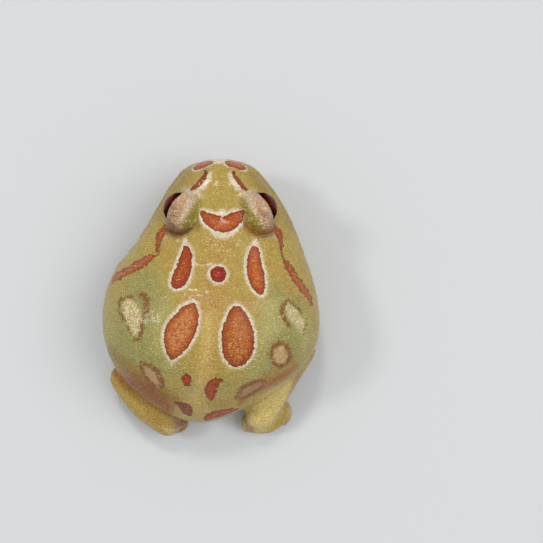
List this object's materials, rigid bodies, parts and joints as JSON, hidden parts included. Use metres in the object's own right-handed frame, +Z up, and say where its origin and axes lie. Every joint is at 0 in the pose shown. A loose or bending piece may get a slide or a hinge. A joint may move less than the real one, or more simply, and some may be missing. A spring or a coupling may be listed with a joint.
{
  "type": "argentine horned frog, still life-size model",
  "caption": "Still, life-size model of a young yellow and orange horned frog crouching on its belly, with blunt horned eyelids, a wide closed mouth and tucked legs.",
  "frame": {"origin": "on the floor under the belly, between shoulders and loins", "axes": "+Z up; the frog faces -Y; the frog's own left is +X"},
  "size_m": [0.0273, 0.035, 0.0154],
  "materials": {
    "skin": "moist, finely granular skin, yellow-green with orange patches edged cream",
    "throat": "smooth pale cream skin",
    "eye": "wet, glossy dark red"
  },
  "bodies": {
    "root": {"torso": "skin", "head": "skin", "lower_jaw": "throat", "eyelids_l": "skin", "eyelids_r": "skin", "eye_l": "eye", "eye_r": "eye", "upper_arm_l": "skin", "upper_arm_r": "skin", "forearm_l": "skin", "forearm_r": "skin", "hand_l": "skin", "hand_r": "skin", "thigh_l": "skin", "thigh_r": "skin", "shank_l": "skin", "shank_r": "skin", "foot_l": "skin", "foot_r": "skin"}
  },
  "joints": []
}
